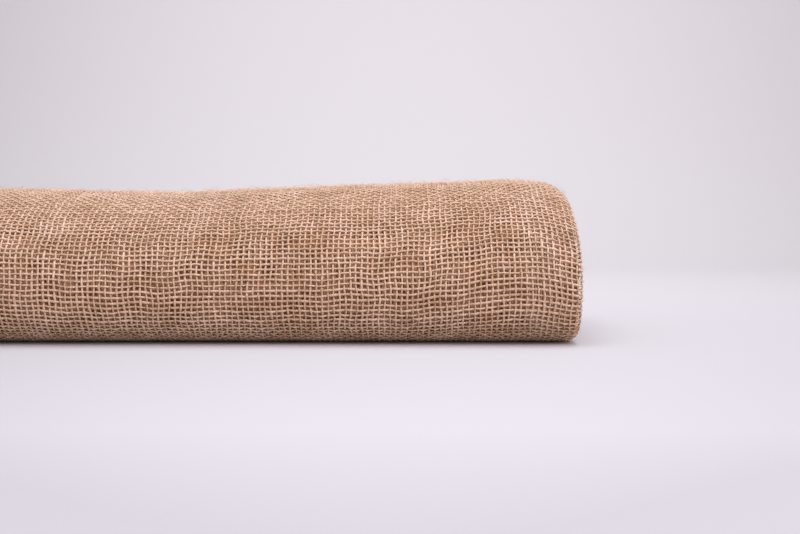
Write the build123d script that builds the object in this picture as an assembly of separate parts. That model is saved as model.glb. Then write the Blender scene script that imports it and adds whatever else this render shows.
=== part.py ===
from build123d import *
import math
import os

os.makedirs("parts", exist_ok=True)

# Driving dimensions, mm. X runs along the roll, -Y is its front, Z is up from the surface it lies on.
LENGTH = 350.0          # cloth folded double: selvedges at the left end, fold at the right end
HALF_DEPTH = 72.0       # front or back bulge, measured from the roll's middle
WIDEST_Z = 28.0         # height at which the front and back bulge furthest
SIDE_FOOT = 30.0        # how far the flat underside stops short of the bulge
TURNS = 9
GAP_SHARE = 0.12        # part of a turn's thickness left free on each of its faces
CREST = 0.5             # half width of the level strip along the very top

SLOT_HALF = 42.0        # passage round the core: half width, underside and top
SLOT_Z = (32.5, 38.5)
CORE_LENGTH, CORE_WIDTH = 338.0, 80.0
CORE_X = -1.0           # middle of the core board along the roll
CORE_Z = (33.0, 38.0)
LINER = 0.6
FLUTE_SHEET, FLUTES, FLUTE_CLEAR = 0.5, 9, 0.05
FLUTE_STEPS = 12        # flats that make up one wave

# The roll's height along its length: it sags in the middle and its top droops over the fold.
STATIONS = (
    (-175.0, 70.5), (-96.0, 69.7), (-48.0, 68.4), (-10.0, 68.3), (29.0, 69.6), (50.0, 70.6),
    (97.0, 72.4), (146.0, 74.0), (156.0, 73.7), (164.0, 72.9), (171.0, 71.3), (177.0, 68.6),
)
LEAN_FROM_Z, LEAN = 40.0, 4.0   # above this height the fold leans back by this many degrees
FOLD_BACK, FOLD_SCATTER = 3.4, 0.9      # how far the inner turns' folds lie behind the outer one
EDGE_BACK = 1.2                          # the same for their selvedges

FLAP_X = (-172.0, 166.0)
FLAP_Z = (4.5, 42.0)
FLAP_GAP, FLAP_THICK = 0.5, 2.4


def section(f, x, height):
    """Face across the roll at x. f is 0 round the core's passage and 1 at the outer surface."""
    low, high = SLOT_Z
    nose = (high - low) / 2
    middle = low + nose
    half = SLOT_HALF + (HALF_DEPTH - SLOT_HALF) * f
    widest = middle + (WIDEST_Z - middle) * f
    top = high + (height - high) * f
    bottom = low * (1 - f)
    crest = max((SLOT_HALF - nose) * (1 - f), CREST)
    foot = (SLOT_HALF - nose) + (HALF_DEPTH - SIDE_FOOT - SLOT_HALF + nose) * f
    rise, drop = top - widest, widest - bottom
    outline = [
        Line((-foot, bottom), (foot, bottom)),
        EllipticalCenterArc((foot, widest), half - foot, drop, 270, arc_size=90),
        EllipticalCenterArc((crest, widest), half - crest, rise, 0, arc_size=90),
        Line((crest, top), (-crest, top)),
        EllipticalCenterArc((-crest, widest), half - crest, rise, 90, arc_size=90),
        EllipticalCenterArc((-foot, widest), half - foot, drop, 180, arc_size=90),
    ]
    return Plane.YZ.offset(x) * make_face(outline)


def bundle(f, overrun=0.0):
    """Solid inside boundary f, drawn straight from station to station."""
    xs = [x for x, _ in STATIONS]
    xs[0] -= overrun
    xs[-1] += overrun
    return loft([section(f, x, h) for x, (_, h) in zip(xs, STATIONS)], ruled=True)


def keep_between(shape, left, right):
    """Cut a turn to length: square at its selvedges, square then leaning back at its fold."""
    tall = 200.0
    box = Pos((left + right) / 2, 0, tall / 2 - 10) * Box(right - left, tall, tall)
    cutter = Pos(right, 0, LEAN_FROM_Z) * Rot(0, -LEAN, 0) * Pos(tall / 2, 0, 0) * Box(tall, tall, 2 * tall)
    return (shape & box) - cutter


def turn(number):
    """One wind of doubled cloth as a closed ring with its folds' soft spacing left free."""
    inner = (number - 1 + GAP_SHARE) / TURNS
    outer = 1.0 if number == TURNS else (number - GAP_SHARE) / TURNS
    fold = 0.0 if number == TURNS else FOLD_BACK + FOLD_SCATTER * math.sin(2.1 * number)
    edge = 0.0 if number == TURNS else EDGE_BACK * (1 + math.sin(1.7 * number))
    ring = bundle(outer) - bundle(inner, overrun=2.0)
    return keep_between(ring, -LENGTH / 2 + edge, LENGTH / 2 - fold)


def flap_section(x, height):
    """Face across the loose tail at x, hugging the roll's back below the hinge line."""
    def side(grow):
        foot, drop = HALF_DEPTH - SIDE_FOOT, WIDEST_Z
        rise = height - WIDEST_Z
        top_angle = math.degrees(math.asin((FLAP_Z[1] - WIDEST_Z) / (rise + grow)))
        low_angle = math.degrees(math.asin((WIDEST_Z - FLAP_Z[0]) / (drop + grow)))
        upper = EllipticalCenterArc(
            (CREST, WIDEST_Z), HALF_DEPTH - CREST + grow, rise + grow, 0, arc_size=top_angle)
        lower = EllipticalCenterArc(
            (foot, WIDEST_Z), SIDE_FOOT + grow, drop + grow, 0, arc_size=-low_angle)
        return upper, lower
    near, far = side(FLAP_GAP), side(FLAP_GAP + FLAP_THICK)
    ends = [Line(near[0] @ 1, far[0] @ 1), Line(near[1] @ 1, far[1] @ 1)]
    return Plane.YZ.offset(x) * make_face([*near, *far, *ends])


def height_at(x):
    """Height of the roll at x, read straight between stations."""
    for (x0, h0), (x1, h1) in zip(STATIONS, STATIONS[1:]):
        if x <= x1:
            return h0 + (h1 - h0) * (x - x0) / (x1 - x0)
    return STATIONS[-1][1]


def tail_flap():
    """Loose end of the cloth, lying against the back."""
    inside = [x for x, _ in STATIONS if FLAP_X[0] < x < FLAP_X[1]]
    return loft([flap_section(x, height_at(x)) for x in (FLAP_X[0], *inside, FLAP_X[1])], ruled=True)


def liner(z):
    """Flat facing of the core board, its underside at z."""
    return Pos(CORE_X, 0, z + LINER / 2) * Box(CORE_LENGTH, CORE_WIDTH, LINER)


def fluting():
    """Waved middle sheet of the core board, its waves running along the roll."""
    middle = (CORE_Z[0] + CORE_Z[1]) / 2
    swing = (CORE_Z[1] - CORE_Z[0]) / 2 - LINER - FLUTE_CLEAR - FLUTE_SHEET / 2
    pitch = CORE_WIDTH / FLUTES
    steps = FLUTE_STEPS * FLUTES

    def side(offset):
        points = []
        for k in range(steps + 1):
            y = -CORE_WIDTH / 2 + CORE_WIDTH * k / steps
            phase = 2 * math.pi * (y + CORE_WIDTH / 2) / pitch
            slope = swing * 2 * math.pi / pitch * math.cos(phase)
            size = math.hypot(1, slope)
            shift = 0 if k in (0, steps) else -offset * slope / size
            points.append((y + shift, middle + swing * math.sin(phase) + offset / size))
        return Polyline(points)

    low, high = side(-FLUTE_SHEET / 2), side(FLUTE_SHEET / 2)
    outline = [low, high, Line(low @ 0, high @ 0), Line(low @ 1, high @ 1)]
    face = Plane.YZ.offset(CORE_X - CORE_LENGTH / 2) * make_face(outline)
    return extrude(face, CORE_LENGTH, dir=(1, 0, 0))


nodes = {
    "core_top_liner": liner(CORE_Z[1] - LINER),
    "core_fluting": fluting(),
    "core_bottom_liner": liner(CORE_Z[0]),
    "tail_flap": tail_flap(),
}
for number in range(1, TURNS + 1):
    nodes[f"turn_{number}"] = turn(number)

for name, shape in nodes.items():
    export_step(shape, f"parts/{name}.step")
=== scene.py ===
"""Finish of a flat-wound roll of open jute cloth on a card core: threads, folds, selvedges, tail and board.

Lengths inside the shape functions are millimetres; they become metres where a mesh is made.
"""
import math

import bpy
import numpy as np
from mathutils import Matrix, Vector


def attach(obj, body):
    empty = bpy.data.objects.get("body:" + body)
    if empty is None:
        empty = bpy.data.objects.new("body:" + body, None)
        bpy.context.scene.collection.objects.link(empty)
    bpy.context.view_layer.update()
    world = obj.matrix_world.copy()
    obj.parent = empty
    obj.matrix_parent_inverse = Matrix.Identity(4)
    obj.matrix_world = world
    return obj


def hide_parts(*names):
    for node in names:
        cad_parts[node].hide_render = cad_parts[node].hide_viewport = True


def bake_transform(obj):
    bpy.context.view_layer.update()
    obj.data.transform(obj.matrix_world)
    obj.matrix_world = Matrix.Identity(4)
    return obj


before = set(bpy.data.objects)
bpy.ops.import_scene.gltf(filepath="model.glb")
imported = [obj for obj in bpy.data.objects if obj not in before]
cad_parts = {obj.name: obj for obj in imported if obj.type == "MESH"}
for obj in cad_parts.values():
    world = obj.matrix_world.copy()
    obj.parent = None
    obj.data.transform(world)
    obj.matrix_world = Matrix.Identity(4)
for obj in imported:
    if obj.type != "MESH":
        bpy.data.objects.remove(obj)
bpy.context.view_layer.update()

MM = 0.001

# ---- The roll's shape, as the CAD has it ---------------------------------------------------------
TURNS = 9
LENGTH = 350.0
HALF_DEPTH, WIDEST_Z, SIDE_FOOT = 72.0, 28.0, 30.0
SLOT_HALF, SLOT_LOW, SLOT_HIGH = 42.0, 32.5, 38.5
FOOT_POWER = 0.87        # 1 gives a true ellipse beneath the bulge; less is squarer, as heavy cloth settles
FOLD_BACK, FOLD_SCATTER, EDGE_BACK = 3.4, 0.9, 1.2
# Height along the roll.
HEIGHT_X, HEIGHT_Z = np.array([
    (-180.0, 70.5), (-96.0, 69.7), (-67.0, 69.2), (-48.0, 68.4), (-28.0, 68.3), (-10.0, 68.3), (10.0, 68.8),
    (29.0, 69.6), (49.0, 70.6), (68.0, 71.2), (87.0, 71.8), (97.0, 72.4), (116.0, 73.0), (135.0, 73.6),
    (146.0, 74.0), (155.0, 73.7), (160.0, 73.3), (164.0, 72.9), (168.5, 72.1), (172.0, 71.0),
    (175.0, 69.6)]).T
SEAM_Z = 46.0            # height at the back where the tail leaves the roll

# ---- The cloth -----------------------------------------------------------------------------------
COLUMN_PITCH, ROW_PITCH = 2.44, 2.39
STEP_ROUND = 52.0        # length of back over which each turn climbs off the one beneath
TAIL_ROWS = 18
NESTLE = 1.0             # how much further the turn beneath the outermost pushes into its fold
CORE_CLEAR = 0.8         # the second turn starts this much further out, clear of the core's corner
FIRST_ROW = 17           # the cloth's inner end starts this many rows past the seam, clear of the core
ROW_SCALE = 2.3          # millimetres to a row in the slow waves that follow rows
MOST_THREADS = 2000      # threads that can be told apart by number
FACE_REACH = 24.0        # how far round the fold the outer face's threads go
HEM_COLUMNS = 4.2        # columns kept at the outermost wind's inner selvedge
EDGE_COLUMNS = 3.2       # columns woven at each selvedge of the inner turns
FOLD_REACH = 7.3         # half width of the strip woven at an inner turn's fold
BACK_SINK = 1.15         # depth of the sheet beneath the outer face


def smoothstep(a, b, x):
    """0 below a, 1 above b, and an S-shaped cubic between."""
    s = np.clip((x - a) / (b - a), 0.0, 1.0)
    return s * s * (3 - 2 * s)


def swell(a, b, lengths, seed):
    """Gentle unevenness over two lengths a and b: sines of the given wavelengths, scattered in direction."""
    rng = np.random.default_rng(seed)
    total = 0.0
    for length in lengths:
        angle, phase = rng.uniform(0, 2 * math.pi, 2)
        total = total + np.sin(2 * math.pi * (a * math.cos(angle) + b * math.sin(angle)) / length + phase)
    return total / math.sqrt(len(lengths))


# ---- Section table: outline across the roll for each level (0 core to 9 outside) and each height ----
TABLE_H = np.arange(44.0, 78.0, 1.0)
TABLE_T = 720


def half_outline(f, h):
    """Front half of the outline: level foot, squarish quarter ellipse to the bulge, true one to the crest."""
    nose = (SLOT_HIGH - SLOT_LOW) / 2
    middle = SLOT_LOW + nose
    half = SLOT_HALF + (HALF_DEPTH - SLOT_HALF) * f
    widest = middle + (WIDEST_Z - middle) * f
    top = SLOT_HIGH + (h - SLOT_HIGH) * f
    bottom = SLOT_LOW * (1 - f)
    crest = (SLOT_HALF - nose) * (1 - f)
    foot = (SLOT_HALF - nose) + (HALF_DEPTH - SIDE_FOOT - SLOT_HALF + nose) * f
    s = np.linspace(0, 1, 160)
    a = s * math.pi / 2
    out, up = np.sin(a) ** FOOT_POWER, np.abs(np.cos(a)) ** FOOT_POWER
    y = np.concatenate([-foot * s, -foot - (half - foot) * out,
                        -crest - (half - crest) * np.cos(a), -crest * (1 - s)])
    z = np.concatenate([bottom + 0 * s, widest - (widest - bottom) * up,
                        widest + (top - widest) * np.sin(a), top + 0 * s])
    return y, z


def section_table():
    """Outline points evenly spaced all round, with their outward directions, for every level and height."""
    t = np.linspace(0, 1, TABLE_T + 1)
    out = np.empty((TURNS + 1, len(TABLE_H), TABLE_T + 1, 4))
    perimeter = np.empty((TURNS + 1, len(TABLE_H)))
    for level in range(TURNS + 1):
        for k, h in enumerate(TABLE_H):
            y, z = half_outline(level / TURNS, h)
            y, z = np.concatenate([y, -y[::-1]]), np.concatenate([z, z[::-1]])
            run = np.concatenate([[0], np.cumsum(np.hypot(np.diff(y), np.diff(z)))])
            run, keep = np.unique(run, return_index=True)
            y, z = np.interp(t * run[-1], run, y[keep]), np.interp(t * run[-1], run, z[keep])
            ty = np.roll(y[:-1], -3) - np.roll(y[:-1], 3)
            tz = np.roll(z[:-1], -3) - np.roll(z[:-1], 3)
            size = np.hypot(ty, tz)
            ny, nz = -tz / size, ty / size
            out[level, k] = np.stack([y, z, np.append(ny, ny[0]), np.append(nz, nz[0])], -1)
            perimeter[level, k] = run[-1]
    return out, perimeter


SECTIONS, PERIMETER = section_table()
H_MEAN = int(round(70.0 - TABLE_H[0]))


def seam_fraction():
    """Share of the outline from mid-underside, by way of the front, to the tail's hinge line."""
    y, z = SECTIONS[TURNS, H_MEAN, :, 0], SECTIONS[TURNS, H_MEAN, :, 1]
    back = np.nonzero((y > 0) & (z > SEAM_Z))[0]
    return back[-1] / TABLE_T


SEAM = seam_fraction()


def section(level, h, t):
    """The section table read between its entries, straight in level, height and distance round."""
    level = np.clip(level, 0, TURNS - 1e-6)
    hk = np.clip(h - TABLE_H[0], 0, len(TABLE_H) - 1 - 1e-6)
    tk = (t % 1.0) * TABLE_T
    l0, h0, t0 = level.astype(int), hk.astype(int), np.minimum(tk.astype(int), TABLE_T - 1)
    fl, fh, ft = level - l0, hk - h0, tk - t0
    total = 0.0
    for dl in (0, 1):
        for dh in (0, 1):
            for dt in (0, 1):
                w = (fl if dl else 1 - fl) * (fh if dh else 1 - fh) * (ft if dt else 1 - ft)
                total = total + w[..., None] * SECTIONS[l0 + dl, h0 + dh, t0 + dt]
    return total[..., 0], total[..., 1], total[..., 2], total[..., 3]


def curve_through(points, step=0.05):
    """Smooth line through points: a Catmull-Rom curve, measured along its length."""
    p = np.asarray(points, float)
    p = np.vstack([2 * p[0] - p[1], p, 2 * p[-1] - p[-2]])
    s = np.linspace(0, 1, 24, endpoint=False)[:, None]
    runs = []
    for a, b, c, d in zip(p, p[1:], p[2:], p[3:]):
        bend = (2 * a - 5 * b + 4 * c - d) * s**2 + (3 * b - a - 3 * c + d) * s**3
        runs.append(0.5 * (2 * b + (c - a) * s + bend))
    line = np.vstack(runs + [p[-2:-1]])
    run = np.concatenate([[0], np.cumsum(np.hypot(*np.diff(line, axis=0).T))])
    even = np.arange(0, run[-1], step)
    return np.interp(even, run, line[:, 0]), np.interp(even, run, line[:, 1]), even


class Cloth:
    """One wind of doubled cloth.

    v is millimetres across the cloth from the fold's tip: minus on the outer layer, plus on the inner one.
    r counts rows round the roll from the seam. n is millimetres out from the cloth's middle surface.
    """

    def __init__(self, turn, fold, outer_n, inner_n, relief, thick, wide, seed, lift=0.0):
        self.turn, self.seed, self.lift = turn, seed, lift
        self.relief, self.thick, self.wide = relief, thick, wide
        outer = turn == TURNS
        back = FOLD_BACK + FOLD_SCATTER * math.sin(2.1 * turn) - (NESTLE if turn == TURNS - 1 else 0)
        self.x_fold = LENGTH / 2 - (0 if outer else back)
        self.x_edge = -LENGTH / 2 + (0.4 if outer else EDGE_BACK * (1 + math.sin(1.7 * turn)))
        self.round_rows = int(round(PERIMETER[turn, H_MEAN] / ROW_PITCH))
        # The width path in (x, n): straight outer layer, the fold's bulb, straight inner layer.
        reach = self.x_fold - self.x_edge
        tip = np.array(fold)
        outer_leg = [(-reach + q * (reach - tip[0, 0]), outer_n) for q in (0.0, 0.3, 0.6, 0.85, 0.97)]
        inner_leg = [(-reach + q * (reach - tip[-1, 0]), inner_n) for q in (0.97, 0.85, 0.6, 0.3, 0.0)]
        path = [(self.x_fold + x, n) for x, n in outer_leg + [(-e, n) for e, n in fold] + inner_leg]
        px, pn, run = curve_through(path)
        tip_at = run[np.argmax(px)]
        self.path_v, self.path_x, self.path_n = run - tip_at, px, pn
        tx, tn = np.gradient(px, run), np.gradient(pn, run)
        size = np.hypot(tx, tn)
        self.path_nx, self.path_nn = -tn / size, tx / size
        self.v_low, self.v_high = self.path_v[0], self.path_v[-1]

    def place(self, v, r, n):
        """Point of the cloth at (v, r, n): by the width path, by the section table, then slumped."""
        v, r, n = np.broadcast_arrays(v, r, n)
        x = np.interp(v, self.path_v, self.path_x)
        off = np.interp(v, self.path_v, self.path_n)
        x = x + n * np.interp(v, self.path_v, self.path_nx)
        off = off + n * np.interp(v, self.path_v, self.path_nn)
        round_mm = r * ROW_PITCH
        climb = 1 - smoothstep(0.0, STEP_ROUND, round_mm)
        if self.lift:
            level = np.full_like(v, float(self.turn))
            off = off + self.lift * (1 - climb)
        else:
            level = self.turn - climb
            off = off + (CORE_CLEAR * climb if self.turn == 2 else 0.0)
        t = SEAM + r / self.round_rows + row_skew(x) / PERIMETER[self.turn, H_MEAN]
        h = np.interp(x, HEIGHT_X, HEIGHT_Z)
        waves = r * ROW_SCALE
        if self.turn < TURNS:
            wave = swell(waves, 40.0 * self.turn + 0 * r, (31.0, 57.0, 90.0), self.seed + 7)
            x = x + 0.9 * smoothstep(-LENGTH / 2, LENGTH / 2, x) * wave
        y, z, ny, nz = section(level, h, t)
        free = smoothstep(0.5, 14.0, z)
        off = off + free * unevenness(x, t)
        edge = np.exp(-np.clip(x - self.x_edge, 0, None) / 7.0)
        flutter = 0.9 * min(1.0, self.turn / 5)
        wave = swell(waves, 25.0 * self.turn + 0 * r, (23.0, 41.0, 77.0), self.seed + 9)
        off = off + free * edge * flutter * wave
        y, z = y + off * ny, z + off * nz
        x = x - smoothstep(108.0, 168.0, x) * 0.0010 * np.clip(z - 25.0, 0, None) ** 2
        return np.stack([x, y, z], -1)

    def drift(self, across, rows):
        """Neighbouring threads wander together: slow sideways waves of a third of a millimetre."""
        return 0.30 * swell(across, rows * ROW_SCALE, (17.0, 29.0, 53.0, 21.0), self.seed + 3)

    def columns(self):
        """Places across the cloth of the threads that run round the roll."""
        return np.arange(self.v_low + 1.0, self.v_high - 0.8, COLUMN_PITCH)


def row_skew(x):
    """Millimetres round by which rows climb towards the fold, bend down again at it, and rise at the left."""
    left = 1.4 * (1 - smoothstep(-90.0, -35.0, x))
    return left + 4.3 * smoothstep(94.0, 150.0, x) - 2.2 * smoothstep(154.0, 176.0, x)


def unevenness(x, t):
    """Millimetres outward of slack in the cloth: a shallow trough behind the fold and broad low swellings."""
    side = np.exp(-((t - 0.27) / 0.09) ** 2)
    trough = -0.9 * np.exp(-((x - 136.0) / 9.0) ** 2) + 0.5 * np.exp(-((x - 154.0) / 9.0) ** 2)
    return side * trough + 0.22 * swell(x, t * 360.0, (58.0, 83.0, 121.0, 47.0), 3)


def thread_facts(count, seed):
    """Thickness factor and shade of each thread; a few are thick slubs or pale."""
    rng = np.random.default_rng(seed)
    size = np.clip(rng.normal(1.0, 0.13, count), 0.72, 1.4)
    shade = rng.normal(0.0, 1.0, count)
    return size[:, None], shade[:, None]


def slubs(lump):
    """Extra thickness where a thread's own unevenness peaks, as in coarse spinning."""
    return 0.7 * np.clip(lump - 1.7, 0.0, 0.6)


class Threads:
    """Tubes gathered into one mesh: rings of points joined by four-sided faces, closed at both ends."""

    def __init__(self):
        self.verts, self.quads, self.tris, self.quad_uv, self.tri_uv, self.shade = [], [], [], [], [], []
        self.quad_slot, self.tri_slot = [], []
        self.count = 0

    def add(self, rings, ends, along, shade):
        """rings (threads, stations, sides, 3), ends (threads, 2, 3), along and shade (threads, stations)."""
        threads, stations, sides, _ = rings.shape
        per = stations * sides + 2
        block = np.concatenate([rings.reshape(threads, -1, 3), ends], axis=1)
        self.verts.append(block.reshape(-1, 3))
        spread = np.repeat(shade[:, :, None], sides, 2).reshape(threads, -1)
        self.shade.append(np.concatenate([spread, shade[:, :1], shade[:, -1:]], 1).ravel())
        a, k = np.meshgrid(np.arange(stations - 1), np.arange(sides), indexing="ij")
        k1 = (k + 1) % sides
        here, there = a * sides, (a + 1) * sides
        quad = np.stack([here + k, there + k, there + k1, here + k1], -1).reshape(-1, 4)
        base = self.count + per * np.arange(threads)[:, None, None]
        self.quads.append((base + quad[None]).reshape(-1, 4))
        self.quad_slot.append(np.zeros(threads * len(quad), int))
        self.tri_slot.append(np.zeros(threads * 2 * sides, int))
        u0, u1 = along[:, :-1], along[:, 1:]
        around = np.arange(sides) / sides
        u = np.stack([u0, u1, u1, u0], -1)[:, :, None, :] + np.zeros((1, 1, sides, 1))
        w = np.stack([around, around, around + 1 / sides, around + 1 / sides], -1)[None, None] + 0 * u
        self.quad_uv.append(np.stack([u, w], -1).reshape(-1, 4, 2))
        ring = np.arange(sides)
        nxt = (ring + 1) % sides
        last = (stations - 1) * sides
        start = np.stack([np.full(sides, per - 2), ring, nxt], -1)
        stop = np.stack([np.full(sides, per - 1), last + nxt, last + ring], -1)
        self.tris.append((base + np.concatenate([start, stop])[None]).reshape(-1, 3))
        cap_u = np.repeat(along[:, [0, -1]], sides, 1).reshape(-1, 1)
        self.tri_uv.append(np.stack([cap_u + np.zeros((1, 3)), np.full((len(cap_u), 3), 0.5)], -1))
        self.count += threads * per

    def sheet(self, points, uv, shade=0.0, slot=0):
        """One open grid of points (rows, columns, 3) with its UVs and material slot."""
        rows, cols, _ = points.shape
        self.verts.append(points.reshape(-1, 3))
        self.shade.append(np.full(rows * cols, shade))
        i, j = np.meshgrid(np.arange(rows - 1), np.arange(cols - 1), indexing="ij")
        here, there = i * cols + j, (i + 1) * cols + j
        quad = np.stack([here, here + 1, there + 1, there], -1).reshape(-1, 4)
        self.quads.append(self.count + quad)
        self.quad_slot.append(np.full(len(quad), slot))
        self.quad_uv.append(uv.reshape(-1, 2)[quad])
        self.count += rows * cols

    def mesh(self, name):
        """The gathered faces as a Blender mesh, smooth, with UVs and a shade value per point."""
        verts = np.concatenate(self.verts) * MM
        quads = np.concatenate(self.quads)
        tris = np.concatenate(self.tris) if self.tris else np.empty((0, 3), int)
        mesh = bpy.data.meshes.new(name)
        mesh.vertices.add(len(verts))
        mesh.vertices.foreach_set("co", verts.astype(np.float32).ravel())
        mesh.loops.add(quads.size + tris.size)
        corners = np.concatenate([quads.ravel(), tris.ravel()])
        mesh.loops.foreach_set("vertex_index", corners.astype(np.int32))
        mesh.polygons.add(len(quads) + len(tris))
        starts = np.concatenate([4 * np.arange(len(quads)), quads.size + 3 * np.arange(len(tris))])
        mesh.polygons.foreach_set("loop_start", starts.astype(np.int32))
        mesh.polygons.foreach_set("use_smooth", np.ones(len(starts), bool))
        slots = np.concatenate(self.quad_slot + self.tri_slot)
        mesh.polygons.foreach_set("material_index", slots.astype(np.int32))
        uv = np.concatenate([np.concatenate(self.quad_uv).reshape(-1, 2)]
                            + ([np.concatenate(self.tri_uv).reshape(-1, 2)] if self.tri_uv else []))
        layer = mesh.uv_layers.new(name="UVMap")
        layer.data.foreach_set("uv", uv.astype(np.float32).ravel())
        shade = mesh.attributes.new("shade", "FLOAT", "POINT")
        shade.data.foreach_set("value", np.concatenate(self.shade).astype(np.float32))
        mesh.update()
        mesh.validate()
        return mesh


def warps(threads, cloth, columns, numbers, row_from, row_to, sides=5, steps=2, loose=None):
    """Threads round the roll: each rises and dips past the rows by a cosine, over odd ones, under even."""
    stations = steps * int(round(row_to - row_from)) + 1
    r = np.linspace(row_from, row_to, stations)[None, :] + np.zeros((len(columns), 1))
    if loose is not None:
        r[:, -1] += loose
    along = r * ROW_PITCH
    size, shade = thread_facts(MOST_THREADS, cloth.seed)
    size, shade = size[numbers], shade[numbers]
    wander = named_noise(numbers, along, (23.0, 41.0, 9.0), cloth.seed + 1)
    lump = named_noise(numbers, along, (7.0, 13.0, 29.0), cloth.seed + 2)
    sign = np.where(numbers % 2 == 0, 1.0, -1.0)[:, None]
    n = cloth.relief * sign * np.cos(math.pi * (r - 0.5)) - 0.05
    width = 0.93 * cloth.wide * size * (1 + 0.13 * lump + slubs(lump))
    tall = cloth.thick * size * (1 + 0.09 * lump)
    v = columns[:, None] + cloth.drift(columns[:, None], r) + 0.17 * wander
    angle = 2 * math.pi * np.arange(sides) / sides
    rings = cloth.place(
        v[..., None] + width[..., None] / 2 * np.cos(angle), r[..., None],
        n[..., None] + tall[..., None] / 2 * np.sin(angle))
    ends = cloth.place(v[:, [0, -1]], r[:, [0, -1]], n[:, [0, -1]])
    threads.add(rings, ends, along, 0.45 * shade + 0.6 * lump)


def named_noise(numbers, along, lengths, seed):
    """Unevenness along threads that keep their own pattern whichever panel they are drawn in."""
    rng = np.random.default_rng(seed)
    total = 0.0
    for length in lengths:
        phase = rng.uniform(0, 2 * math.pi, MOST_THREADS)[numbers][:, None]
        stretch = rng.uniform(0.75, 1.3, MOST_THREADS)[numbers][:, None]
        total = total + np.sin(2 * math.pi * along * stretch / length + phase)
    return total / math.sqrt(len(lengths))


def wefts(threads, cloth, rows, v_from, v_to, first, sides=5, steps=2, loose=0.0):
    """Threads across the cloth, one to a row: each dips by a cosine where the round thread rises."""
    numbers = np.asarray(rows)
    cells = int(round((v_to - v_from) / COLUMN_PITCH))
    stations = steps * cells + 1
    v = np.linspace(v_from, v_to, stations)[None, :] + np.zeros((len(numbers), 1))
    cell = (v - first) / COLUMN_PITCH
    size, shade = thread_facts(MOST_THREADS, cloth.seed + 4)
    size, shade = size[numbers], shade[numbers]
    wander = named_noise(numbers, v, (27.0, 49.0, 11.0), cloth.seed + 5)
    lump = named_noise(numbers, v, (8.0, 15.0, 33.0), cloth.seed + 6)
    sign = np.where(numbers % 2 == 0, 1.0, -1.0)[:, None]
    n = -cloth.relief * sign * np.cos(math.pi * cell) + 0.04
    width = 1.04 * cloth.wide * size * (1 + 0.13 * lump + slubs(lump))
    tall = cloth.thick * size * (1 + 0.09 * lump)
    drift = cloth.drift(numbers[:, None] * ROW_SCALE + 900.0, v / ROW_SCALE)
    r = numbers[:, None] + 0.5 + (drift + 0.16 * wander) / ROW_PITCH
    angle = 2 * math.pi * np.arange(sides) / sides
    rings = cloth.place(
        v[..., None], r[..., None] + width[..., None] / 2 / ROW_PITCH * np.cos(angle),
        n[..., None] - tall[..., None] / 2 * np.sin(angle))
    ends = cloth.place(v[:, [0, -1]], r[:, [0, -1]], n[:, [0, -1]])
    threads.add(rings, ends, v, 0.75 * shade + 0.6 * lump + 0.3)


def backing(threads, cloth, v_from, v_to, rows, sink, across=60, slot=0):
    """Plain sheet sunk below the cloth's middle surface, a third less on top; UVs count columns and rows."""
    v = np.linspace(v_from, v_to, across)[None, :]
    r = np.linspace(rows[0], rows[1], int(rows[1] - rows[0]) + 1)[:, None]
    crest = smoothstep(46.0, 66.0, cloth.place(v, r, sink)[..., 2])
    points = cloth.place(v, r, sink * (1 - 0.32 * crest))
    slack = 1.1 * swell(v, r * ROW_SCALE, (33.0, 52.0, 81.0, 24.0), cloth.seed + 21)
    sag = swell(v, r * ROW_SCALE, (37.0, 58.0, 91.0, 22.0), cloth.seed + 22)
    uv = np.stack(np.broadcast_arrays((v + slack) / COLUMN_PITCH, r * 1.01 + sag / ROW_PITCH), -1)
    threads.sheet(points, uv, slot=slot)


def edge_loops(threads, cloth, v_end, rows, out, sides=5):
    """Half rings at a selvedge, each joining two neighbouring cross threads round the last column."""
    numbers = np.arange(rows[0], rows[1] - 1, 2)
    a = np.linspace(0, math.pi, 6)[None, :]
    r = numbers[:, None] + 1.0 - 0.5 * np.cos(a)
    reach = 1.0 + 0.25 * np.random.default_rng(cloth.seed + 31).normal(0, 1, (len(numbers), 1))
    v = v_end + out * reach * np.sin(a)
    angle = 2 * math.pi * np.arange(sides) / sides
    half = cloth.wide / 2
    inward, around = -out * np.sin(a), -np.cos(a)
    rings = cloth.place(
        v[..., None] + out * half * np.cos(angle) * np.abs(inward)[..., None],
        r[..., None] + half / ROW_PITCH * np.cos(angle) * around[..., None],
        out * cloth.thick / 2 * np.sin(angle) + 0 * v[..., None])
    ends = cloth.place(v[:, [0, -1]], r[:, [0, -1]], 0.0)
    threads.add(rings, ends, r * ROW_PITCH, np.zeros_like(v + r))


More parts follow.
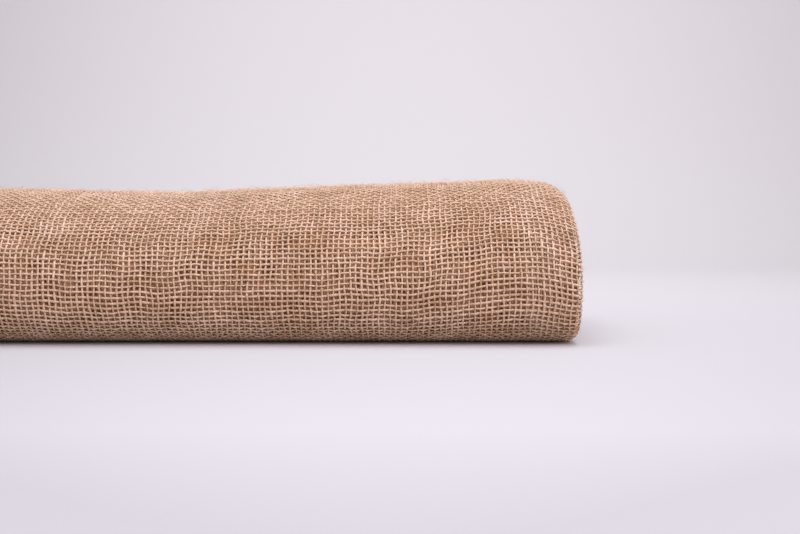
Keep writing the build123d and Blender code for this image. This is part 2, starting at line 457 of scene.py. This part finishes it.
def fuzz(threads, cloth, count, v_range, r_range, seed, length=(2.0, 6.0), rise=(0.15, 0.9), fine=0.045):
    """Loose fibres: each leaves the thread surface, climbs by its own slope, curls sideways and tapers."""
    rng = np.random.default_rng(seed)
    v0, r0 = rng.uniform(*v_range, (count, 1)), rng.uniform(*r_range, (count, 1))
    way = rng.uniform(0, 2 * math.pi, (count, 1))
    long = rng.uniform(*length, (count, 1))
    climb = rng.uniform(*rise, (count, 1))
    curl = rng.normal(0, 0.9, (count, 1))
    s = np.linspace(0, 1, 5)[None, :]
    heading = way + curl * s
    v = v0 + long * s * np.cos(heading)
    r = r0 + long * s * np.sin(heading) / ROW_PITCH
    n = 0.15 + long * climb * s * (1 - 0.45 * s)
    half = fine * rng.uniform(0.7, 1.4, (count, 1)) * (1 - 0.6 * s)
    angle = 2 * math.pi * np.arange(3) / 3
    rings = cloth.place(
        v[..., None] - np.sin(heading)[..., None] * half[..., None] * np.cos(angle),
        r[..., None] + np.cos(heading)[..., None] * half[..., None] * np.cos(angle) / ROW_PITCH,
        n[..., None] + half[..., None] * np.sin(angle))
    ends = cloth.place(v[:, [0, -1]], r[:, [0, -1]], n[:, [0, -1]])
    clear = rings[..., 2].min(axis=(1, 2)) > 0.3
    shade = np.repeat(rng.normal(0.6, 1.0, (count, 1)), s.size, 1)
    threads.add(rings[clear], ends[clear], (long * s)[clear], shade[clear])


# ---- Materials -----------------------------------------------------------------------------------
def socket_in(group, name, kind, default=None):
    """Named input on a node group."""
    s = group.interface.new_socket(name=name, in_out="INPUT", socket_type=kind)
    if default is not None:
        s.default_value = default
    return s


def node(tree, kind, **settings):
    """New node with its settings."""
    made = tree.nodes.new(kind)
    for key, value in settings.items():
        setattr(made, key, value)
    return made


def maths(tree, operation, a, b=None, c=None, clamp=False):
    """Maths node on links or numbers; returns its output."""
    made = node(tree, "ShaderNodeMath", operation=operation, use_clamp=clamp)
    for slot, value in zip(made.inputs, (a, b, c)):
        if value is None:
            continue
        if isinstance(value, (int, float)):
            slot.default_value = value
        else:
            tree.links.new(value, slot)
    return made.outputs[0]


def blend_colour(tree, factor, a, b):
    """Colour mix of links or colours."""
    made = node(tree, "ShaderNodeMix", data_type="RGBA")
    for slot, value in zip((made.inputs[0], made.inputs[6], made.inputs[7]), (factor, a, b)):
        if isinstance(value, (int, float)):
            slot.default_value = value
        elif isinstance(value, tuple):
            slot.default_value = (*value, 1.0)
        else:
            tree.links.new(value, slot)
    return made.outputs[2]


def noise(tree, where, scale, detail=2.0):
    """Noise on the given coordinates; returns its value."""
    made = node(tree, "ShaderNodeTexNoise", noise_dimensions="3D")
    made.inputs["Scale"].default_value = scale
    made.inputs["Detail"].default_value = detail
    tree.links.new(where, made.inputs["Vector"])
    return made.outputs["Fac"]


def new_group(name, outputs):
    """Empty node group with the given outputs."""
    group = bpy.data.node_groups.new(name, "ShaderNodeTree")
    for label, kind in outputs:
        group.interface.new_socket(name=label, in_out="OUTPUT", socket_type=kind)
    return group


def jute_fibre_group():
    """Spun jute: shade by thread, slanted plies from the twist, fibre specks, patches and bark flecks."""
    g = new_group("jute_fibre", [("Color", "NodeSocketColor"), ("Height", "NodeSocketFloat")])
    socket_in(g, "Dark", "NodeSocketColor", (0.2, 0.1, 0.05, 1))
    socket_in(g, "Pale", "NodeSocketColor", (0.6, 0.4, 0.3, 1))
    socket_in(g, "Bark", "NodeSocketColor", (0.42, 0.2, 0.07, 1))
    socket_in(g, "Twist Length", "NodeSocketFloat", 2.2)
    socket_in(g, "Shade Spread", "NodeSocketFloat", 0.1)
    enter, leave = node(g, "NodeGroupInput"), node(g, "NodeGroupOutput")
    uv = node(g, "ShaderNodeUVMap", uv_map="UVMap")
    split = node(g, "ShaderNodeSeparateXYZ")
    g.links.new(uv.outputs[0], split.inputs[0])
    turns = maths(g, "DIVIDE", split.outputs[0], enter.outputs["Twist Length"])
    slant = maths(g, "ADD", turns, split.outputs[1])
    plies = maths(g, "SINE", maths(g, "MULTIPLY", slant, 4 * math.pi))
    plies = maths(g, "MULTIPLY_ADD", plies, 0.5, 0.5)
    where = node(g, "ShaderNodeTexCoord").outputs["Object"]
    fine, broad = noise(g, where, 1250.0, 3.0), noise(g, where, 320.0)
    patch, spots = noise(g, where, 85.0), noise(g, where, 210.0, 4.0)
    shade = node(g, "ShaderNodeAttribute", attribute_type="GEOMETRY", attribute_name="shade")
    level = maths(g, "MULTIPLY", shade.outputs["Fac"], enter.outputs["Shade Spread"])
    level = maths(g, "ADD", level, maths(g, "MULTIPLY_ADD", plies, 0.16, -0.08))
    level = maths(g, "ADD", level, maths(g, "SUBTRACT", fine, 0.5))
    level = maths(g, "ADD", level, maths(g, "SUBTRACT", patch, 0.5))
    level = maths(g, "ADD", level, maths(g, "MULTIPLY_ADD", broad, 0.7, 0.15), clamp=True)
    colour = blend_colour(g, level, enter.outputs["Dark"], enter.outputs["Pale"])
    bark = maths(g, "MULTIPLY_ADD", spots, 9.0, -6.0, clamp=True)
    colour = blend_colour(g, maths(g, "MULTIPLY", bark, 0.55), colour, enter.outputs["Bark"])
    g.links.new(colour, leave.inputs["Color"])
    height = maths(g, "ADD", maths(g, "MULTIPLY", plies, 0.7), maths(g, "MULTIPLY", fine, 0.6))
    g.links.new(height, leave.inputs["Height"])
    return g


def weave_group():
    """Plain weave drawn flat: counts of columns and rows give over-and-under threads, domed, and gaps."""
    g = new_group("plain_weave", [("Thread", "NodeSocketFloat"), ("Height", "NodeSocketFloat")])
    socket_in(g, "Thread Share", "NodeSocketFloat", 0.45)
    socket_in(g, "Shift", "NodeSocketVector", (0.0, 0.0, 0.0))
    enter, leave = node(g, "NodeGroupInput"), node(g, "NodeGroupOutput")
    uv = node(g, "ShaderNodeUVMap", uv_map="UVMap")
    moved = node(g, "ShaderNodeVectorMath", operation="ADD")
    g.links.new(uv.outputs[0], moved.inputs[0])
    g.links.new(enter.outputs["Shift"], moved.inputs[1])
    split = node(g, "ShaderNodeSeparateXYZ")
    g.links.new(moved.outputs[0], split.inputs[0])
    sides = []
    for axis in (0, 1):
        value = maths(g, "ABSOLUTE", maths(g, "SUBTRACT", maths(g, "FRACT", split.outputs[axis]), 0.5))
        reach = maths(g, "DIVIDE", value, maths(g, "MULTIPLY", enter.outputs["Thread Share"], 0.5))
        dome = maths(g, "SUBTRACT", 1.0, maths(g, "MULTIPLY", reach, reach))
        sides.append(maths(g, "SQRT", maths(g, "MAXIMUM", dome, 0.0)))
    parity = maths(g, "ADD", maths(g, "FLOOR", split.outputs[0]), maths(g, "FLOOR", split.outputs[1]))
    odd = maths(g, "GREATER_THAN", maths(g, "FRACT", maths(g, "MULTIPLY", parity, 0.5)), 0.25)
    even = maths(g, "SUBTRACT", 1.0, odd)
    column = maths(g, "MULTIPLY", sides[0], maths(g, "MULTIPLY_ADD", odd, 0.5, 0.5))
    row = maths(g, "MULTIPLY", sides[1], maths(g, "MULTIPLY_ADD", even, 0.5, 0.5))
    height = maths(g, "MAXIMUM", column, row)
    g.links.new(height, leave.inputs["Height"])
    g.links.new(maths(g, "MULTIPLY", height, 3.0, clamp=True), leave.inputs["Thread"])
    return g


JUTE_DARK, JUTE_PALE = (0.395, 0.218, 0.109), (0.755, 0.522, 0.397)
GROUPS = {}


def new_material(name, roughness, **constants):
    """Material with one Principled shader and its constant inputs."""
    made = bpy.data.materials.new(name)
    made.use_nodes = True
    shader = made.node_tree.nodes["Principled BSDF"]
    shader.inputs["Roughness"].default_value = roughness
    for key, value in constants.items():
        shader.inputs[key.replace("_", " ")].default_value = value
    return made, made.node_tree, shader


def bump_into(tree, shader, height, distance, strength=1.0):
    """Bump from a height onto the shader's normal."""
    bump = node(tree, "ShaderNodeBump")
    bump.inputs["Distance"].default_value = distance
    bump.inputs["Strength"].default_value = strength
    tree.links.new(height, bump.inputs["Height"])
    tree.links.new(bump.outputs[0], shader.inputs["Normal"])


def jute_thread_material():
    """Spun jute thread."""
    made, tree, shader = new_material("jute_thread", 0.82, Sheen_Weight=0.5, Sheen_Roughness=0.45,
                                      Sheen_Tint=(1.0, 0.92, 0.88, 1.0), Specular_IOR_Level=0.25)
    fibre = node(tree, "ShaderNodeGroup", node_tree=GROUPS["fibre"])
    fibre.inputs["Dark"].default_value = (*JUTE_DARK, 1)
    fibre.inputs["Pale"].default_value = (*JUTE_PALE, 1)
    tree.links.new(fibre.outputs["Color"], shader.inputs["Base Color"])
    bump_into(tree, shader, fibre.outputs["Height"], 0.00012)
    return made


def jute_backing_material():
    """Layers of cloth beneath, drawn flat in painted shade: darker threads over a deeper weave, the gaps
    painted near or hollow by slow noise, with painted light filling the gaps towards the top.
    """
    made, tree, shader = new_material("jute_under_layer", 0.9, Specular_IOR_Level=0.2)
    fibre = node(tree, "ShaderNodeGroup", node_tree=GROUPS["fibre"])
    # The threads beneath are a darker copy of the jute: painted shade under the outer layer.
    fibre.inputs["Dark"].default_value = (0.31, 0.138, 0.058, 1)
    fibre.inputs["Pale"].default_value = (0.65, 0.395, 0.24, 1)
    weave = node(tree, "ShaderNodeGroup", node_tree=GROUPS["weave"])
    weave.inputs["Thread Share"].default_value = 0.5
    deeper = node(tree, "ShaderNodeGroup", node_tree=GROUPS["weave"])
    deeper.inputs["Thread Share"].default_value = 0.55
    deeper.inputs["Shift"].default_value = (0.37, 0.56, 0.0)
    where = node(tree, "ShaderNodeTexCoord").outputs["Object"]
    place = node(tree, "ShaderNodeSeparateXYZ")
    tree.links.new(where, place.inputs[0])
    crest = maths(tree, "MULTIPLY_ADD", place.outputs[2], 75.0, -3.7, clamp=True)
    # Painted light: towards the top the gaps take the threads' colour, so the top reads brighter as under
    # light from above.
    painted_top_light = maths(tree, "MULTIPLY", crest, 0.85)
    filled = maths(tree, "MULTIPLY_ADD", noise(tree, where, 130.0, 3.0), 5.0, -2.1)
    filled = maths(tree, "ADD", filled, painted_top_light, clamp=True)
    # Painted shade in the gaps: near black where hollow, the deeper weave's threads darkened where near.
    hollow_shade = blend_colour(tree, filled, (0.03, 0.011, 0.005), (0.30, 0.125, 0.05))
    shaded_deep_thread = blend_colour(tree, filled, (0.16, 0.065, 0.026), (0.42, 0.185, 0.08))
    gap = blend_colour(tree, deeper.outputs["Thread"], hollow_shade, shaded_deep_thread)
    gap = blend_colour(tree, painted_top_light, gap, fibre.outputs["Color"])
    colour = blend_colour(tree, weave.outputs["Thread"], gap, fibre.outputs["Color"])
    tree.links.new(colour, shader.inputs["Base Color"])
    bump_into(tree, shader, weave.outputs["Height"], 0.0006)
    return made


def board_material(name, dark, pale, streak):
    """Kraft paper: long faint fibres along the board and small specks."""
    made, tree, shader = new_material(name, 0.8, Specular_IOR_Level=0.3)
    where = node(tree, "ShaderNodeTexCoord").outputs["Object"]
    stretch = node(tree, "ShaderNodeMapping")
    stretch.inputs["Scale"].default_value = (streak, 1.0, 1.0)
    tree.links.new(where, stretch.inputs["Vector"])
    fibres, specks = noise(tree, stretch.outputs[0], 900.0, 5.0), noise(tree, where, 2400.0)
    level = maths(tree, "ADD", maths(tree, "MULTIPLY_ADD", fibres, 1.1, -0.3),
                  maths(tree, "MULTIPLY_ADD", specks, 0.5, -0.25), clamp=True)
    tree.links.new(blend_colour(tree, level, dark, pale), shader.inputs["Base Color"])
    bump_into(tree, shader, fibres, 0.0001)
    return made


GROUPS["fibre"] = jute_fibre_group()
GROUPS["weave"] = weave_group()
jute = jute_thread_material()
under_layer = jute_backing_material()


# ---- Pieces --------------------------------------------------------------------------------------
def finish_piece(threads, name, body, nodes, materials):
    """Mesh to object: material, body, CAD nodes it stands for and slot."""
    mesh = threads.mesh(name)
    for m in materials:
        mesh.materials.append(m)
    piece = bpy.data.objects.new(name, mesh)
    bpy.context.scene.collection.objects.link(piece)
    if body:
        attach(piece, body)
    if nodes:
        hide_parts(*nodes)
    return piece


# Fold bulbs: (distance in from the tip, offset from the surface) through which the doubled edge bends.
OUTER_FOLD = [(15, -0.8), (9, -0.8), (4.5, -0.85), (2.0, -1.2), (0.6, -1.9), (0.02, -2.8), (0.4, -3.7),
              (1.5, -4.0), (2.8, -3.6), (4.4, -2.9), (6.8, -2.3), (10, -2.0), (14, -1.9)]
INNER_FOLD = [(9, -0.65), (5, -0.6), (2.6, -0.6), (0.9, -0.85), (0.05, -1.5), (0.5, -2.2), (1.8, -2.5),
              (4, -2.2), (7, -1.9)]

outer = Cloth(TURNS, OUTER_FOLD, -0.8, -1.9, relief=0.35, thick=0.72, wide=0.87, seed=100)
around = outer.round_rows
columns = outer.columns()
numbers = np.arange(len(columns))
first = columns[0]
face = columns < FACE_REACH
face_end = columns[face][-1] + 0.5 * COLUMN_PITCH

PANELS = ("back_lower", "underside_back", "underside_front", "front_lower", "front_middle", "top_front",
          "top_back", "back_upper")
panel_rows = np.linspace(0, around, len(PANELS) + 1).round().astype(int)
for name, low, high in zip(PANELS, panel_rows[:-1], panel_rows[1:]):
    made = Threads()
    sides = 4 if name.startswith("underside") else 5
    warps(made, outer, columns[face], numbers[face], low, high, sides=sides)
    wefts(made, outer, np.arange(low, high), first - 0.5 * COLUMN_PITCH, face_end, first, sides=sides)
    edge_loops(made, outer, first - 0.5 * COLUMN_PITCH, (low, high), -1)
    finish_piece(made, "cloth_" + name, "roll", ["turn_9"], [jute])

made = Threads()
backing(made, outer, outer.v_low + 3.0, -2.7, (0, around), -BACK_SINK, across=100)
finish_piece(made, "cloth_under_layer", "roll", ["turn_9"], [under_layer])

made = Threads()
hem = columns > columns[-1] - HEM_COLUMNS * COLUMN_PITCH
hem_from = columns[hem][0] - 0.5 * COLUMN_PITCH
hem_to = columns[-1] + 0.5 * COLUMN_PITCH
warps(made, outer, columns[hem], numbers[hem], 0, around)
wefts(made, outer, np.arange(0, around), hem_from, hem_to, first)
edge_loops(made, outer, hem_to, (0, around), 1)
finish_piece(made, "cloth_inner_selvedge", "roll", ["turn_9"], [jute])

for turn in range(1, TURNS):
    cloth = Cloth(turn, INNER_FOLD, -0.65, -1.8, relief=0.27, thick=0.6, wide=0.94, seed=100 * turn + 1000)
    rows = cloth.round_rows
    start = FIRST_ROW if turn == 1 else 0
    across = cloth.columns()
    count = np.arange(len(across))
    made = Threads()
    edge = EDGE_COLUMNS * COLUMN_PITCH
    zones = (across < across[0] + edge, np.abs(across) < FOLD_REACH, across > across[-1] - edge)
    for zone in zones:
        low, high = across[zone][0] - 0.5 * COLUMN_PITCH, across[zone][-1] + 0.5 * COLUMN_PITCH
        warps(made, cloth, across[zone], count[zone], start, rows, sides=4)
        wefts(made, cloth, np.arange(start, rows), low, high, across[0], sides=4)
    edge_loops(made, cloth, across[0] - 0.5 * COLUMN_PITCH, (start, rows), -1, sides=4)
    edge_loops(made, cloth, across[-1] + 0.5 * COLUMN_PITCH, (start, rows), 1, sides=4)
    backing(made, cloth, cloth.v_low + 4.0, -5.0, (start, rows), -0.1, slot=1)
    backing(made, cloth, 5.0, cloth.v_high - 4.0, (start, rows), -0.1, slot=1)
    finish_piece(made, "cloth_turn_%d" % turn, "roll", ["turn_%d" % turn], [jute, under_layer])

# Loose tail: the same doubled cloth carried past the seam, lying over the start of the outermost turn.
TAIL_FOLD = [(12, -0.75), (6, -0.7), (3, -0.75), (1.0, -1.0), (0.05, -1.6), (0.6, -2.3), (2.2, -2.5),
             (5, -2.2), (9, -2.0)]
tail = Cloth(TURNS, TAIL_FOLD, -0.75, -1.95, relief=0.30, thick=0.66, wide=0.94, seed=150, lift=2.75)
tail_columns = tail.columns()
tail_numbers = np.arange(len(tail_columns))
frayed = np.random.default_rng(77).uniform(0.4, 1.6, len(tail_columns))[:, None]
tip = tail_columns < 3.0
for name, part, edge in (("tail_outer_layer", tip, -1), ("tail_inner_layer", ~tip, 1)):
    made = Threads()
    low, high = tail_columns[part][0] - 0.5 * COLUMN_PITCH, tail_columns[part][-1] + 0.5 * COLUMN_PITCH
    sides = 5 if edge < 0 else 4
    warps(made, tail, tail_columns[part], tail_numbers[part], 0, TAIL_ROWS, sides=sides,
          loose=frayed[part, 0])
    wefts(made, tail, np.arange(TAIL_ROWS), low, high, tail_columns[0], sides=sides)
    edge_loops(made, tail, low if edge < 0 else high, (0, TAIL_ROWS), edge)
    piece = finish_piece(made, name, None, ["tail_flap"], [jute])
    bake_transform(piece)

made = Threads()
fuzz(made, outer, 4200, (outer.v_low + 2, 3.0), (22, around), 5)
fuzz(made, outer, 1500, (-5.0, 3.0), (0, around), 6, length=(1.2, 4.5), rise=(-0.25, 0.5))
finish_piece(made, "loose_fibres", "roll", [], [jute])
made = Threads()
fuzz(made, tail, 260, (tail.v_low + 2, 0.0), (1, TAIL_ROWS), 8)
piece = finish_piece(made, "tail_fibres", None, [], [jute])
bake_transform(piece)

kraft_liner = board_material("kraft_liner", (0.34, 0.20, 0.105), (0.60, 0.40, 0.25), 0.35)
kraft_fluting = board_material("kraft_fluting", (0.30, 0.17, 0.088), (0.52, 0.335, 0.20), 0.35)
for name, finish in (("core_top_liner", kraft_liner), ("core_bottom_liner", kraft_liner),
                     ("core_fluting", kraft_fluting)):
    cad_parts[name].data.materials.clear()
    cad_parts[name].data.materials.append(finish)


# ---- Studio: pale sweep, soft light from above and in front, camera at table height -----------------
def sweep():
    """Floor that curves up behind: level to the bend, a quarter circle, then upright, extruded sideways."""
    radius, back, front, rise = 800.0, 560.0, -5000.0, 3000.0
    a = np.linspace(0, math.pi / 2, 24)
    y = np.concatenate([[front], back + radius * np.sin(a), [back + radius]])
    z = np.concatenate([[0.0], radius - radius * np.cos(a), [rise]])
    x = np.array([-5000.0, 5000.0])
    points = np.stack(np.broadcast_arrays(x[None, :], y[:, None], z[:, None]), -1)
    made = Threads()
    made.sheet(points, np.zeros((len(y), 2, 2)))
    return made.mesh("studio_sweep")


def sweep_material(bright, dim):
    """Studio paper with a painted pool of light: bright round the object, dimmer near the front edge and the
    far sides.
    """
    made, tree, shader = new_material("white_sweep", 0.9, Specular_IOR_Level=0.2)
    where = node(tree, "ShaderNodeTexCoord")
    split = node(tree, "ShaderNodeSeparateXYZ")
    tree.links.new(where.outputs["Object"], split.inputs[0])
    # Painted pool of light: the paper's colour dims sideways and towards the front.
    x = maths(tree, "ABSOLUTE", maths(tree, "SUBTRACT", split.outputs[0], 0.09))
    reach = maths(tree, "MULTIPLY_ADD", maths(tree, "ADD", split.outputs[1], 0.589), 0.34, 0.0)
    side = maths(tree, "DIVIDE", x, reach)
    side = maths(tree, "MULTIPLY", maths(tree, "POWER", side, 2.0, clamp=True), 0.55, clamp=True)
    near = maths(tree, "MULTIPLY_ADD", split.outputs[1], -9.0, -2.35, clamp=True)
    painted_dimming = maths(tree, "ADD", side, near, clamp=True)
    tree.links.new(blend_colour(tree, painted_dimming, bright, dim), shader.inputs["Base Color"])
    return made


paper = sweep_material((0.545, 0.512, 0.53), (0.455, 0.427, 0.442))
floor = bpy.data.objects.new("studio_sweep", sweep())
floor.data.materials.append(paper)
bpy.context.scene.collection.objects.link(floor)

world = bpy.data.worlds.new("studio")
bpy.context.scene.world = world
world.use_nodes = True
world.node_tree.nodes["Background"].inputs[0].default_value = (1.0, 0.97, 0.93, 1)
world.node_tree.nodes["Background"].inputs[1].default_value = 0.50


def area_light(name, place, aim, size, power, colour=(1, 1, 1)):
    """Square soft light at place, pointing at aim, both in metres."""
    data = bpy.data.lights.new(name, "AREA")
    data.shape, data.size, data.energy, data.color = "SQUARE", size, power, colour
    lamp = bpy.data.objects.new(name, data)
    lamp.location = place
    direction = np.array(aim) - np.array(place)
    lamp.rotation_euler = Vector(direction).to_track_quat("-Z", "Y").to_euler()
    bpy.context.scene.collection.objects.link(lamp)
    return lamp


area_light("overhead", (0.27, -0.50, 1.30), (0.1, 0.0, 0.0), 1.65, 27.0, (0.925, 0.985, 1.13))
area_light("side", (1.3, -1.2, 0.7), (0.1, 0.0, 0.0), 1.2, 15.5, (1.0, 0.885, 0.77))
area_light("backdrop", (0.0, 0.45, 0.85), (0.12, 1.2, 0.35), 1.0, 3.8)

camera_data = bpy.data.cameras.new("camera")
camera_data.sensor_width = 36.0
camera_data.lens = 54.5
camera_data.clip_start = 0.01
camera = bpy.data.objects.new("camera", camera_data)
camera.location = (0.0966, -0.589, 0.062)
camera.rotation_euler = (math.radians(87.0), 0, 0)
bpy.context.scene.collection.objects.link(camera)
bpy.context.scene.camera = camera
bpy.context.scene.view_settings.view_transform = "Standard"
